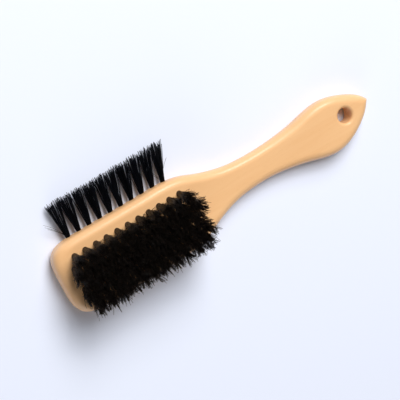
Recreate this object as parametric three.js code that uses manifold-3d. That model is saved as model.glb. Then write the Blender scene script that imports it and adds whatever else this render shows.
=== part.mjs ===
// Two-sided fade brush: one wooden body, a field of boar tufts in its face and a row of stiff nylon
// tufts in one long side edge. Millimetres. +Z points out of the face, +X runs from the head to the
// handle, +Y is the side that carries the nylon row. The flat back lies in the plane z = 0, and the
// origin is behind the middle of the bristle field, on that back.
import * as THREE from "three";
import { mergeVertices } from "three/addons/utils/BufferGeometryUtils.js";
import Module from "manifold-3d";

const wasm = await Module();
wasm.setup();

// ---------------------------------------------------------------- driving dimensions
// A "distance" is measured from the end of the head, along the brush.
const LENGTH = 208.5;
const FIELD_AT = 47; // distance of the middle of the bristle field, where x = 0

const HEAD_WIDTH = 43.2;
const HEAD_THICKNESS = 13;
const HEAD_ROUNDING = 4.8; // radius of the rounded edges of the head
const HEAD_END_LENGTH = 24.2; // the head's end is a superellipse this deep
const HEAD_END_SQUARENESS = 4.1; // and its exponent
const SHOULDER_AT = 58; // distance where the head starts to narrow
const NECK_AT = 131.5;
const NECK_WIDTH = 18.4;
const NECK_THICKNESS = 10;
const THINNED_BEFORE_NECK = 15; // the head has thinned to that this long before the neck
const NECK_OFFSET = 1; // the neck bows this much towards the nylon side
const BULB_AT = 179;
const BULB_WIDTH = 31.8;
const BULB_THICKNESS = 11.8;
const HANDLE_ROUNDING = 4.7;
const TIP_LEAN = 3.3; // the pointed end leans this much towards the nylon side
const TIP_LEAN_FROM = 160;

const HANGING_HOLE_AT = 190.6;
const HANGING_HOLE_OFFSET = 1.2; // from the centre line, towards the nylon side
const HANGING_HOLE_RADIUS = 4.4;
const HOLE_RIM_RADIUS = 2;

const TUFT_PITCH = 6.85; // spacing of the tufts along every row
const BOAR_COUNTS = [11, 12, 11, 12, 11]; // tufts in each row, from the nylon side
const BOAR_ROW_SPACING = 6.4;
const BOAR_RADIUS = 1.6; // a tuft where its hole holds it
const BOAR_HEIGHT = 16.5; // bristle that stands proud of the face
const BOAR_DEPTH = 6; // of a tuft in its hole
const BOAR_SPREAD_ALONG = 3.7; // half-width of a tuft at its tip, along the row
const BOAR_SPREAD_ACROSS = 2.7;
const BOAR_SPLAY = 0.02; // outward lean of the tips, as a share of the tuft's place in the field
const BOAR_LEAN = [-1.5, -3]; // use has combed all the tips over this far, along and across

const NYLON_COUNT = 10;
const NYLON_LEVEL = 4.4; // height of the side row over the flat back
const NYLON_RADIUS = 1.35;
const NYLON_LENGTH = 21; // bristle that stands proud of the side
const NYLON_DEPTH = 8;
const NYLON_SPREAD_ALONG = 3.3;
const NYLON_SPREAD_ACROSS = 2.2;
const NYLON_LEAN = [0.04, 0.24]; // lean towards the handle of the first and the last tuft, as a slope

const ANCHOR_LENGTH = 2.5; // flat wire staple that lies across a tuft, deep in its hole
const ANCHOR_HEIGHT = 1.6;
const ANCHOR_THICKNESS = 0.35;
const ANCHOR_LIFT = 1.3; // of the staple's lower edge over the tuft's fold

const CLEARANCE = 0.3; // between a tuft and its hole, and between a staple and its tuft

// The body's outline: [distance, half-width, slope]. A cubic joins each pair of knots.
const OUTLINE_KNOTS = [
  [0, HEAD_WIDTH / 2, 0],
  [SHOULDER_AT, HEAD_WIDTH / 2, 0],
  [91, 17.8, -0.45],
  [108, 11.7, -0.26],
  [NECK_AT, NECK_WIDTH / 2, 0],
  [157, 11.75, 0.18],
  [BULB_AT, BULB_WIDTH / 2, 0],
  [199, 9.3, -0.62],
  [LENGTH, 0, -1.66],
];

// ---------------------------------------------------------------- fineness of the solids
const HEAD_END_STEPS = 10; // steps round each half of the head's end
const SIDE_STEPS = 44; // steps along each long side, from there to the tip
const ROUNDING_STEPS = 4; // bands in each rounded edge
const TUFT_SIDES = 10;
const TUFT_BANDS = 3; // bands between a tuft's root and its tip
const DRILL_SIDES = 10;
const HANGING_HOLE_SIDES = 28;
const CUTTER_OVERSHOOT = 1; // of the hanging hole's cutter, past both faces
const INSET_HALVINGS = 24; // halvings in the search for an inset point
const MERGE_DISTANCE = 1e-4; // points closer than this are one point

// ---------------------------------------------------------------- finishes
const finish = (color, roughness, metalness = 0) =>
  new THREE.MeshStandardMaterial({ color, roughness, metalness });
const LACQUERED_WOOD = finish(0xf0c08a, 0.42);
const BOAR_BRISTLE = finish(0x1c130e, 0.6);
const NYLON_BRISTLE = finish(0x0b0c12, 0.38);
const ANCHOR_WIRE = finish(0xb8b4ac, 0.4, 1);

// ---------------------------------------------------------------- solids
function meshOf(name, geometry, material) {
  const mesh = new THREE.Mesh(geometry, material);
  mesh.name = name;
  return mesh;
}

function toSolid(geometry) {
  const bare = geometry.clone().deleteAttribute("normal").deleteAttribute("uv");
  const merged = mergeVertices(bare, MERGE_DISTANCE);
  return new wasm.Manifold(
    new wasm.Mesh({
      numProp: 3,
      vertProperties: merged.attributes.position.array,
      triVerts: new Uint32Array(merged.index.array),
    }),
  );
}

function toGeometry(solid) {
  const { vertProperties, triVerts } = solid.getMesh();
  const geometry = new THREE.BufferGeometry();
  geometry.setAttribute("position", new THREE.BufferAttribute(vertProperties, 3));
  geometry.setIndex(new THREE.BufferAttribute(triVerts, 1));
  return geometry.toNonIndexed();
}

// A closed skin over a stack of rings, lowest first. Every ring has the same even number of points,
// counter-clockwise from above, and point i lies across the ring from point n - i.
function skinOf(rings) {
  const count = rings[0].length;
  const faces = [];
  for (let level = 0; level + 1 < rings.length; level += 1) {
    for (let i = 0; i < count; i += 1) {
      const here = level * count;
      const next = (i + 1) % count;
      faces.push(here + i, here + next, here + count + next);
      faces.push(here + i, here + count + next, here + count + i);
    }
  }
  const top = (rings.length - 1) * count;
  for (let i = 0; i < count / 2; i += 1) {
    const far = (count - i) % count;
    const corners = [i, i + 1, count - i - 1, far];
    for (const [a, b, c] of [[0, 1, 2], [0, 2, 3]]) {
      const used = [corners[a], corners[b], corners[c]];
      if (new Set(used).size < 3) continue;
      faces.push(top + used[0], top + used[1], top + used[2]);
      faces.push(used[0], used[2], used[1]);
    }
  }
  const geometry = new THREE.BufferGeometry().setFromPoints(rings.flat());
  geometry.setIndex(faces);
  return geometry;
}

// ---------------------------------------------------------------- wooden body
const toX = (distance) => distance - FIELD_AT;

function ease(value, from, to) {
  const t = THREE.MathUtils.clamp((value - from) / (to - from), 0, 1);
  return t * t * (3 - 2 * t);
}

function halfWidth(distance) {
  const next = Math.max(1, OUTLINE_KNOTS.findIndex(([at]) => at >= distance));
  const [startAt, startWidth, startSlope] = OUTLINE_KNOTS[next - 1];
  const [endAt, endWidth, endSlope] = OUTLINE_KNOTS[next];
  const span = endAt - startAt;
  const t = (distance - startAt) / span;
  const side =
    startWidth * (1 + 2 * t) * (1 - t) ** 2 +
    startSlope * span * t * (1 - t) ** 2 +
    endWidth * t * t * (3 - 2 * t) +
    endSlope * span * t * t * (t - 1);
  const beforeSides = Math.max(0, 1 - distance / HEAD_END_LENGTH);
  const square = HEAD_END_SQUARENESS;
  return side * (1 - beforeSides ** square) ** (1 / square);
}

function centreLine(distance) {
  const bow = ease(distance, SHOULDER_AT, NECK_AT) - ease(distance, NECK_AT, BULB_AT);
  const lean = Math.max(0, distance - TIP_LEAN_FROM) / (LENGTH - TIP_LEAN_FROM);
  return NECK_OFFSET * bow + TIP_LEAN * lean ** 3;
}

function thickness(distance) {
  const toNeck = ease(distance, SHOULDER_AT, NECK_AT - THINNED_BEFORE_NECK);
  const toBulb = ease(distance, NECK_AT, BULB_AT);
  const handle = THREE.MathUtils.lerp(NECK_THICKNESS, BULB_THICKNESS, toBulb);
  return THREE.MathUtils.lerp(HEAD_THICKNESS, handle, toNeck);
}

const edgeRounding = (distance) =>
  THREE.MathUtils.lerp(HEAD_ROUNDING, HANDLE_ROUNDING, ease(distance, SHOULDER_AT, NECK_AT));

// Stations follow the superellipse round the head's end, and crowd together towards the tip.
function stationDistance(index) {
  const endTurn = (Math.min(index, HEAD_END_STEPS) / HEAD_END_STEPS) * (Math.PI / 2);
  const endDistance = HEAD_END_LENGTH * (1 - Math.abs(Math.cos(endTurn)) ** (2 / HEAD_END_SQUARENESS));
  const t = Math.max(0, index - HEAD_END_STEPS) / SIDE_STEPS;
  const evenShare = 0.7;
  const crowded = Math.sin((Math.PI / 2) * t);
  return endDistance + (LENGTH - HEAD_END_LENGTH) * (evenShare * t + (1 - evenShare) * crowded);
}

// The outline's points, out along the -Y side and back along the +Y side, each with the distance
// that its thickness and rounding are read at.
function bodyOutline() {
  const points = [];
  const last = HEAD_END_STEPS + SIDE_STEPS;
  for (let i = 0; i < 2 * last; i += 1) {
    const outward = i <= last;
    const distance = stationDistance(outward ? i : 2 * last - i);
    const side = outward ? -1 : 1;
    const y = centreLine(distance) + side * halfWidth(distance);
    points.push({ distance, place: new THREE.Vector2(toX(distance), y) });
  }
  return points;
}

function depthInside(place, outline) {
  const segment = new THREE.Line3();
  const nearest = new THREE.Vector3();
  const target = new THREE.Vector3(place.x, place.y, 0);
  let depth = Infinity;
  outline.forEach(({ place: start }, i) => {
    const { place: end } = outline[(i + 1) % outline.length];
    segment.start.set(start.x, start.y, 0);
    segment.end.set(end.x, end.y, 0);
    segment.closestPointToPoint(target, true, nearest);
    depth = Math.min(depth, nearest.distanceTo(target));
  });
  return depth;
}

// Moves an outline point towards the body's spine until it lies this deep inside the outline. The
// spine starts just past the head's end curve and stops well short of the tip, where it is narrow.
function insetPoint({ distance, place }, outline, depth) {
  const spineStart = HEAD_END_LENGTH + 2;
  const spineEnd = LENGTH - 16;
  const spineDistance = THREE.MathUtils.clamp(distance, spineStart, spineEnd);
  const spine = new THREE.Vector2(toX(spineDistance), centreLine(spineDistance));
  let [outer, inner] = [0, 1];
  for (let step = 0; step < INSET_HALVINGS; step += 1) {
    const middle = 0.5 * (outer + inner);
    const trial = place.clone().lerp(spine, middle);
    if (depthInside(trial, outline) < depth) outer = middle;
    else inner = middle;
  }
  return place.clone().lerp(spine, outer);
}

function bodyRing(outline, turn, upper) {
  return outline.map((point) => {
    const radius = edgeRounding(point.distance);
    const height = radius * (1 - Math.cos(turn));
    const z = upper ? thickness(point.distance) - height : height;
    const { x, y } = insetPoint(point, outline, radius * (1 - Math.sin(turn)));
    return new THREE.Vector3(x, y, z);
  });
}

function hangingHoleCutter() {
  const rimEdge = HANGING_HOLE_RADIUS + HOLE_RIM_RADIUS;
  const top = thickness(HANGING_HOLE_AT);
  const profile = new THREE.Path();
  profile.moveTo(0, -CUTTER_OVERSHOOT);
  profile.lineTo(rimEdge, -CUTTER_OVERSHOOT);
  profile.lineTo(rimEdge, 0);
  profile.absarc(rimEdge, HOLE_RIM_RADIUS, HOLE_RIM_RADIUS, 1.5 * Math.PI, Math.PI, true);
  profile.absarc(rimEdge, top - HOLE_RIM_RADIUS, HOLE_RIM_RADIUS, Math.PI, 0.5 * Math.PI, true);
  profile.lineTo(rimEdge, top + CUTTER_OVERSHOOT);
  profile.lineTo(0, top + CUTTER_OVERSHOOT);
  const lathe = new THREE.LatheGeometry(profile.getPoints(ROUNDING_STEPS), HANGING_HOLE_SIDES);
  lathe.rotateX(Math.PI / 2);
  const y = centreLine(HANGING_HOLE_AT) + HANGING_HOLE_OFFSET;
  return lathe.translate(toX(HANGING_HOLE_AT), y, 0);
}

// A drill along +Y that ends `depth` under y = 0 and runs out well past it.
function drillCutter(tuftRadius, depth) {
  const runOut = 10;
  const length = depth + CLEARANCE + runOut;
  const drill = new THREE.CylinderGeometry(
    tuftRadius + CLEARANCE,
    tuftRadius + CLEARANCE,
    length,
    DRILL_SIDES,
  );
  return drill.translate(0, runOut - length / 2, 0);
}

function woodenBody(boarRows, nylonRow) {
  const outline = bodyOutline();
  const turnStep = Math.PI / 2 / ROUNDING_STEPS;
  const turns = Array.from({ length: ROUNDING_STEPS + 1 }, (_, i) => i * turnStep);
  const lower = turns.map((turn) => bodyRing(outline, turn, false));
  const upper = turns.map((turn) => bodyRing(outline, turn, true)).reverse();
  let body = toSolid(skinOf([...lower, ...upper]));
  body = body.subtract(toSolid(hangingHoleCutter()));
  for (const { x, y } of boarRows.flat()) {
    const drill = drillCutter(BOAR_RADIUS, BOAR_DEPTH).rotateX(Math.PI / 2);
    body = body.subtract(toSolid(drill.translate(x, y, HEAD_THICKNESS)));
  }
  for (const { x } of nylonRow) {
    const drill = drillCutter(NYLON_RADIUS, NYLON_DEPTH);
    body = body.subtract(toSolid(drill.translate(x, HEAD_WIDTH / 2, NYLON_LEVEL)));
  }
  return meshOf("brush_body", toGeometry(body), LACQUERED_WOOD);
}

// ---------------------------------------------------------------- tufts
// A tuft stands along +Z with its root at z = 0: straight inside its hole, then spreading to its
// tip, which is carried sideways by the lean.
function tuftSkin({ radius, depth, height, along, across, leanX = 0, leanY = 0 }) {
  const ring = (z, halfX, halfY, shiftX, shiftY) =>
    Array.from({ length: TUFT_SIDES }, (_, i) => {
      const angle = Math.PI + (i / TUFT_SIDES) * 2 * Math.PI;
      const x = shiftX + halfX * Math.cos(angle);
      const y = shiftY + halfY * Math.sin(angle);
      return new THREE.Vector3(x, y, z);
    });
  const rings = [ring(-depth, radius, radius, 0, 0)];
  for (let band = 0; band <= TUFT_BANDS; band += 1) {
    const share = band / TUFT_BANDS;
    const halfX = THREE.MathUtils.lerp(radius, along, share);
    const halfY = THREE.MathUtils.lerp(radius, across, share);
    rings.push(ring(share * height, halfX, halfY, share * leanX, share * leanY));
  }
  return skinOf(rings);
}

// Places along a row that is centred on the field.
const rowPlaces = (count, y) =>
  Array.from({ length: count }, (_, i) => ({ x: (i - (count - 1) / 2) * TUFT_PITCH, y }));

const boarRows = BOAR_COUNTS.map((count, row) =>
  rowPlaces(count, ((BOAR_COUNTS.length - 1) / 2 - row) * BOAR_ROW_SPACING),
);
const nylonRow = rowPlaces(NYLON_COUNT, HEAD_WIDTH / 2);

// Neighbouring tufts of a row mingle at their tips, so a row is one comb-like solid.
function boarRow(places, row) {
  const tufts = places.map(({ x, y }) =>
    tuftSkin({
      radius: BOAR_RADIUS,
      depth: BOAR_DEPTH,
      height: BOAR_HEIGHT,
      along: BOAR_SPREAD_ALONG,
      across: BOAR_SPREAD_ACROSS,
      leanX: BOAR_SPLAY * x + BOAR_LEAN[0],
      leanY: BOAR_SPLAY * y + BOAR_LEAN[1],
    }).translate(x, y, 0),
  );
  const comb = tufts.map(toSolid).reduce((joined, tuft) => joined.add(tuft));
  const mesh = meshOf(`boar_row_${row + 1}`, toGeometry(comb), BOAR_BRISTLE);
  mesh.position.z = HEAD_THICKNESS;
  return mesh;
}

const padded = (index) => String(index + 1).padStart(2, "0");
const anchorMiddle = ANCHOR_LIFT + ANCHOR_HEIGHT / 2 - NYLON_DEPTH;

// The bristles are folded double round the staple, which leaves a slot through the fold.
function nylonTuft({ x }, index) {
  const [firstLean, lastLean] = NYLON_LEAN;
  const lean = THREE.MathUtils.lerp(firstLean, lastLean, index / (NYLON_COUNT - 1));
  const skin = tuftSkin({
    radius: NYLON_RADIUS,
    depth: NYLON_DEPTH,
    height: NYLON_LENGTH,
    along: NYLON_SPREAD_ALONG,
    across: NYLON_SPREAD_ACROSS,
    leanX: lean * NYLON_LENGTH,
  });
  const slot = new THREE.BoxGeometry(
    4 * NYLON_RADIUS,
    ANCHOR_THICKNESS + 2 * CLEARANCE,
    ANCHOR_HEIGHT + 2 * CLEARANCE,
  );
  slot.translate(0, 0, anchorMiddle);
  const folded = toSolid(skin).subtract(toSolid(slot));
  const mesh = meshOf(`nylon_tuft_${padded(index)}`, toGeometry(folded), NYLON_BRISTLE);
  mesh.position.x = x;
  return mesh;
}

function nylonAnchor({ x }, index) {
  const strip = new THREE.BoxGeometry(ANCHOR_LENGTH, ANCHOR_THICKNESS, ANCHOR_HEIGHT);
  const mesh = meshOf(`nylon_anchor_${padded(index)}`, strip, ANCHOR_WIRE);
  mesh.position.set(x, 0, anchorMiddle);
  return mesh;
}

// ---------------------------------------------------------------- assembly
const group = new THREE.Group();
group.add(woodenBody(boarRows, nylonRow));
group.add(...boarRows.map(boarRow));

const sideRow = new THREE.Group();
sideRow.position.set(0, HEAD_WIDTH / 2, NYLON_LEVEL);
sideRow.rotation.x = -Math.PI / 2; // its tufts stand along +Y
sideRow.add(...nylonRow.map(nylonTuft));
sideRow.add(...nylonRow.map(nylonAnchor));
group.add(sideRow);

export default group;
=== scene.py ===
"""The finished look of a two-sided fade brush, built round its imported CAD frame.

The brush lies on its flat back. +X runs from the head to the handle, +Y is the side that carries
the stiff nylon row, and +Z points out of the face that carries the boar field. Sizes in the classes
are in millimetres; every mesh is written in metres.
"""

import logging
import math
from dataclasses import dataclass, field
from enum import Enum, IntEnum
from typing import Iterable, Sequence

import bpy
import numpy as np
from mathutils import Matrix, Vector


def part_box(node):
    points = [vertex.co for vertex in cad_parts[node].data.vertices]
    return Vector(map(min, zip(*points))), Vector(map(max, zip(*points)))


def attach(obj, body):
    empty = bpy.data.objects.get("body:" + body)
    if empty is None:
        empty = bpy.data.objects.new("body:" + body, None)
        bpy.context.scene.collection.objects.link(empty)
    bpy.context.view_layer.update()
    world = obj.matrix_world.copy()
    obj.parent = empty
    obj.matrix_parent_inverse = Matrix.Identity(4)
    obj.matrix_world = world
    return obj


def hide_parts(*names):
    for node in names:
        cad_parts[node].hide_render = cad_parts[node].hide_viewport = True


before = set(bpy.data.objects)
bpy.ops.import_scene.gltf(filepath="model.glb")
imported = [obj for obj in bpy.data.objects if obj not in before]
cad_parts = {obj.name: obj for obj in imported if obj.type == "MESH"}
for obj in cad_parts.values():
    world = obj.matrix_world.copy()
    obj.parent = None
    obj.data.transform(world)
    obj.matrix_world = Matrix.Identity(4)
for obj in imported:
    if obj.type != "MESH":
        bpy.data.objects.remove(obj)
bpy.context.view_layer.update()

log = logging.getLogger("fade_brush")

MM = 0.001
BODY = "root"
QUARTER_TURN = math.pi / 2
SHARP_FROM = math.radians(40)  # edges that turn more than this are shaded sharp


# ---------------------------------------------------------------------------- small shared helpers
def linear(hex_colour: str) -> tuple[float, float, float, float]:
    """Turns an sRGB hex colour into a linear one.

    Args:
        hex_colour: six hex digits, such as "E8B77F".

    Returns:
        Red, green, blue and an alpha of 1, all linear.
    """
    channels = [int(hex_colour[i : i + 2], 16) / 255 for i in (0, 2, 4)]
    red, green, blue = [
        c / 12.92 if c <= 0.04045 else ((c + 0.055) / 1.055) ** 2.4 for c in channels
    ]
    return red, green, blue, 1.0


def add_node(
    tree: bpy.types.NodeTree,
    kind: str,
    inputs: dict[int | str, object] | None = None,
    **settings: object,
) -> bpy.types.Node:
    """Adds a node, sets its properties, and fills or links its inputs.

    Args:
        tree: the node tree that gets the node.
        kind: Blender's type name for the node.
        inputs: for each input's name or number, a value or the output socket that feeds it.
        **settings: properties of the node, such as operation="MULTIPLY".

    Returns:
        The new node.
    """
    node = tree.nodes.new(kind)
    for name, value in settings.items():
        setattr(node, name, value)
    for key, value in (inputs or {}).items():
        if isinstance(value, bpy.types.NodeSocket):
            tree.links.new(value, node.inputs[key])
        else:
            node.inputs[key].default_value = value
    return node


def mesh_object(
    name: str, vertices: np.ndarray, faces: Iterable[Sequence[int]]
) -> bpy.types.Object:
    """Makes an object at the origin from vertices in millimetres.

    Args:
        name: the object's name.
        vertices: an array of points, one row each, in millimetres.
        faces: the corner numbers of each face, counter-clockwise from outside.

    Returns:
        The new object, linked to the scene.
    """
    mesh = bpy.data.meshes.new(name)
    mesh.from_pydata((np.asarray(vertices, float) * MM).tolist(), [], [list(f) for f in faces])
    mesh.update()
    made = bpy.data.objects.new(name, mesh)
    bpy.context.scene.collection.objects.link(made)
    return made


def apply_modifiers(source: bpy.types.Object, name: str) -> bpy.types.Object:
    """Turns an object and its modifiers into a plain mesh, and removes the source.

    Args:
        source: the object that carries the modifiers.
        name: the name of the plain piece.

    Returns:
        The plain piece, at the origin.
    """
    bpy.context.view_layer.update()
    evaluated = source.evaluated_get(bpy.context.evaluated_depsgraph_get())
    mesh = bpy.data.meshes.new_from_object(evaluated)
    mesh.name = name
    source.modifiers.clear()
    bpy.data.objects.remove(source)
    piece = bpy.data.objects.new(name, mesh)
    bpy.context.scene.collection.objects.link(piece)
    return piece


def ease(values: np.ndarray | float, start: float, end: float) -> np.ndarray | float:
    """Rises smoothly from 0 at start to 1 at end."""
    t = np.clip((np.asarray(values, float) - start) / (end - start), 0.0, 1.0)
    return t * t * (3 - 2 * t)


# ---------------------------------------------------------------------------- finishes
@dataclass(frozen=True)
class LacqueredBeech:
    """Steamed beech, shaped and sanded, under a clear satin lacquer.

    The eye sees an even honey colour with faint lengthwise streaks and short darker flecks, and a
    soft wide highlight on every rounded edge.
    """

    name: str = "beech_under_satin_lacquer"
    pale: str = "EABA86"
    deep: str = "E6B37E"
    fleck: str = "B9814B"
    streak_width_mm: float = 5.0  # beech growth rings, cut at a low angle by a flat-sawn face
    streak_length_mm: float = 60.0
    fleck_width_mm: float = 0.35  # beech rays are drawn a little coarse so that they show
    fleck_length_mm: float = 2.6
    fleck_share: float = 0.12
    relief_mm: float = 0.1  # depth that the streaks stand out by under the lacquer
    relief_strength: float = 0.06
    ior: float = 1.5
    roughness: float = 0.5
    lacquer: float = 0.6
    lacquer_roughness: float = 0.25

    def material(self) -> bpy.types.Material:
        """Builds the wood.

        Returns:
            A material that follows Object coordinates, with the grain along X.
        """
        made = bpy.data.materials.new(self.name)
        made.use_nodes = True
        tree = made.node_tree
        shader = tree.nodes["Principled BSDF"]
        shader.inputs["Roughness"].default_value = self.roughness
        shader.inputs["Coat Weight"].default_value = self.lacquer
        shader.inputs["Coat Roughness"].default_value = self.lacquer_roughness
        shader.inputs["IOR"].default_value = self.ior
        place = add_node(tree, "ShaderNodeTexCoord").outputs["Object"]
        along_grain = add_node(
            tree,
            "ShaderNodeMapping",
            {
                "Vector": place,
                "Scale": (
                    1 / (self.streak_length_mm * MM),
                    1 / (self.streak_width_mm * MM),
                    1 / (self.streak_width_mm * MM),
                ),
            },
        )
        streaks = add_node(
            tree,
            "ShaderNodeTexNoise",
            {"Vector": along_grain.outputs[0], "Scale": 1.0, "Detail": 4.0, "Distortion": 0.6},
        )
        streak_share = add_node(
            tree,
            "ShaderNodeMapRange",
            {"Value": streaks.outputs["Fac"], "From Min": 0.3, "From Max": 0.7},
        )
        ground = add_node(
            tree,
            "ShaderNodeMix",
            {
                "Factor": streak_share.outputs["Result"],
                "A": linear(self.pale),
                "B": linear(self.deep),
            },
            data_type="RGBA",
        )
        fleck_space = add_node(
            tree,
            "ShaderNodeMapping",
            {
                "Vector": place,
                "Scale": (
                    1 / (self.fleck_length_mm * MM),
                    1 / (self.fleck_width_mm * MM),
                    1 / (self.fleck_width_mm * MM),
                ),
            },
        )
        rays = add_node(
            tree,
            "ShaderNodeTexNoise",
            {"Vector": fleck_space.outputs[0], "Scale": 1.0, "Detail": 1.0},
        )
        ray_share = add_node(
            tree,
            "ShaderNodeMapRange",
            {
                "Value": rays.outputs["Fac"],
                "From Min": 0.62,
                "From Max": 0.78,
                "To Max": self.fleck_share,
            },
        )
        coloured = add_node(
            tree,
            "ShaderNodeMix",
            {
                "Factor": ray_share.outputs["Result"],
                "A": ground.outputs["Result"],
                "B": linear(self.fleck),
            },
            data_type="RGBA",
        )
        relief = add_node(
            tree,
            "ShaderNodeBump",
            {
                "Height": streaks.outputs["Fac"],
                "Strength": self.relief_strength,
                "Distance": self.relief_mm * MM,
            },
        )
        tree.links.new(coloured.outputs["Result"], shader.inputs["Base Color"])
        tree.links.new(relief.outputs["Normal"], shader.inputs["Normal"])
        return made


@dataclass(frozen=True)
class BristleFinish:
    """A hair or filament whose colour changes from its root to its tip.

    Reads two attributes of the bristles: "along", from 0 at the wood to 1 at the tip, and "shade",
    a random number for each bristle.
    """

    name: str
    root: str
    middle: str
    tip: str
    lighter: str  # what the palest bristles turn towards
    lighter_share: float
    root_ends: float  # share of the length where the root colour has gone
    tip_starts: float
    roughness: float
    ior: float
    sheen: float  # 0.5 is a plain reflecting surface, less is a duller one

    def material(self) -> bpy.types.Material:
        """Builds the filament material.

        Returns:
            A material coloured by the bristles' own attributes.
        """
        made = bpy.data.materials.new(self.name)
        made.use_nodes = True
        tree = made.node_tree
        shader = tree.nodes["Principled BSDF"]
        shader.inputs["Roughness"].default_value = self.roughness
        shader.inputs["IOR"].default_value = self.ior
        shader.inputs["Specular IOR Level"].default_value = self.sheen
        along = add_node(tree, "ShaderNodeAttribute", attribute_name="along")
        shade = add_node(tree, "ShaderNodeAttribute", attribute_name="shade")
        from_root = add_node(
            tree,
            "ShaderNodeMapRange",
            {"Value": along.outputs["Fac"], "From Max": self.root_ends},
        )
        to_tip = add_node(
            tree,
            "ShaderNodeMapRange",
            {"Value": along.outputs["Fac"], "From Min": self.tip_starts},
        )
        palest = add_node(
            tree,
            "ShaderNodeMapRange",
            {"Value": shade.outputs["Fac"], "From Min": 0.75, "To Max": self.lighter_share},
        )
        lower = add_node(
            tree,
            "ShaderNodeMix",
            {
                "Factor": from_root.outputs["Result"],
                "A": linear(self.root),
                "B": linear(self.middle),
            },
            data_type="RGBA",
        )
        upper = add_node(
            tree,
            "ShaderNodeMix",
            {
                "Factor": to_tip.outputs["Result"],
                "A": lower.outputs["Result"],
                "B": linear(self.tip),
            },
            data_type="RGBA",
        )
        mixed = add_node(
            tree,
            "ShaderNodeMix",
            {
                "Factor": palest.outputs["Result"],
                "A": upper.outputs["Result"],
                "B": linear(self.lighter),
            },
            data_type="RGBA",
        )
        tree.links.new(mixed.outputs["Result"], shader.inputs["Base Color"])
        return made


# Boar bristle is black keratin, reddish brown where it is thickest at the root, with a dull shine.
BOAR = BristleFinish(
    name="natural_boar_bristle",
    root="24140B",
    middle="0C0806",
    tip="120D0A",
    # The palest bristles are partly tone that differs at random and partly a painted highlight on
    # single strands.
    lighter="46382E",
    lighter_share=0.3,
    root_ends=0.3,
    tip_starts=0.7,
    roughness=0.42,
    ior=1.55,
    sheen=0.5,
)

# Extruded nylon is evenly coloured blue-black; its paler tips are a painted highlight of light on
# the cut ends. So many fine straight filaments side by side look dull, so they reflect less than one
# thick filament would.
NYLON = BristleFinish(
    name="extruded_black_nylon",
    root="05060A",
    middle="05060B",
    # painted highlight: the tips are painted paler where light catches the cut ends
    tip="10131B",
    lighter="2A2F3A",
    lighter_share=0.2,
    root_ends=0.2,
    tip_starts=0.85,
    roughness=0.5,
    ior=1.53,
    sheen=0.12,
)


@dataclass(frozen=True)
class TinnedFlatWire:
    """Rolled mild steel wire, tinned: grey, faintly scratched along its length."""

    name: str = "tinned_flat_steel_wire"
    colour: str = "B8B4AC"
    roughness: float = 0.38
    smoother_by: float = 0.1  # the roughness varies from this much less
    rougher_by: float = 0.15  # to this much more
    scratch_mm: float = 0.08
    scratches_per_metre: float = 60.0  # along the strip, where they are long

    def material(self) -> bpy.types.Material:
        """Builds the wire metal.

        Returns:
            A metal whose roughness follows Object coordinates.
        """
        made = bpy.data.materials.new(self.name)
        made.use_nodes = True
        tree = made.node_tree
        shader = tree.nodes["Principled BSDF"]
        shader.inputs["Base Color"].default_value = linear(self.colour)
        shader.inputs["Metallic"].default_value = 1.0
        stretched = add_node(
            tree,
            "ShaderNodeMapping",
            {
                "Vector": add_node(tree, "ShaderNodeTexCoord").outputs["Object"],
                "Scale": (
                    self.scratches_per_metre,
                    1 / (self.scratch_mm * MM),
                    1 / (self.scratch_mm * MM),
                ),
            },
        )
        scratches = add_node(
            tree, "ShaderNodeTexNoise", {"Vector": stretched.outputs[0], "Scale": 1.0}
        )
        dullness = add_node(
            tree,
            "ShaderNodeMapRange",
            {
                "Value": scratches.outputs["Fac"],
                "To Min": self.roughness - self.smoother_by,
                "To Max": self.roughness + self.rougher_by,
            },
        )
        tree.links.new(dullness.outputs["Result"], shader.inputs["Roughness"])
        return made


@dataclass(frozen=True)
class PalePaper:
    """Plain matt paper that the brush lies on."""

    name: str = "pale_studio_paper"
    colour: str = "E4E9F7"
    roughness: float = 0.8

    def material(self) -> bpy.types.Material:
        """Builds the paper.

        Returns:
            A plain matt material.
        """
        made = bpy.data.materials.new(self.name)
        made.use_nodes = True
        shader = made.node_tree.nodes["Principled BSDF"]
        shader.inputs["Base Color"].default_value = linear(self.colour)
        shader.inputs["Roughness"].default_value = self.roughness
        return made


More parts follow.
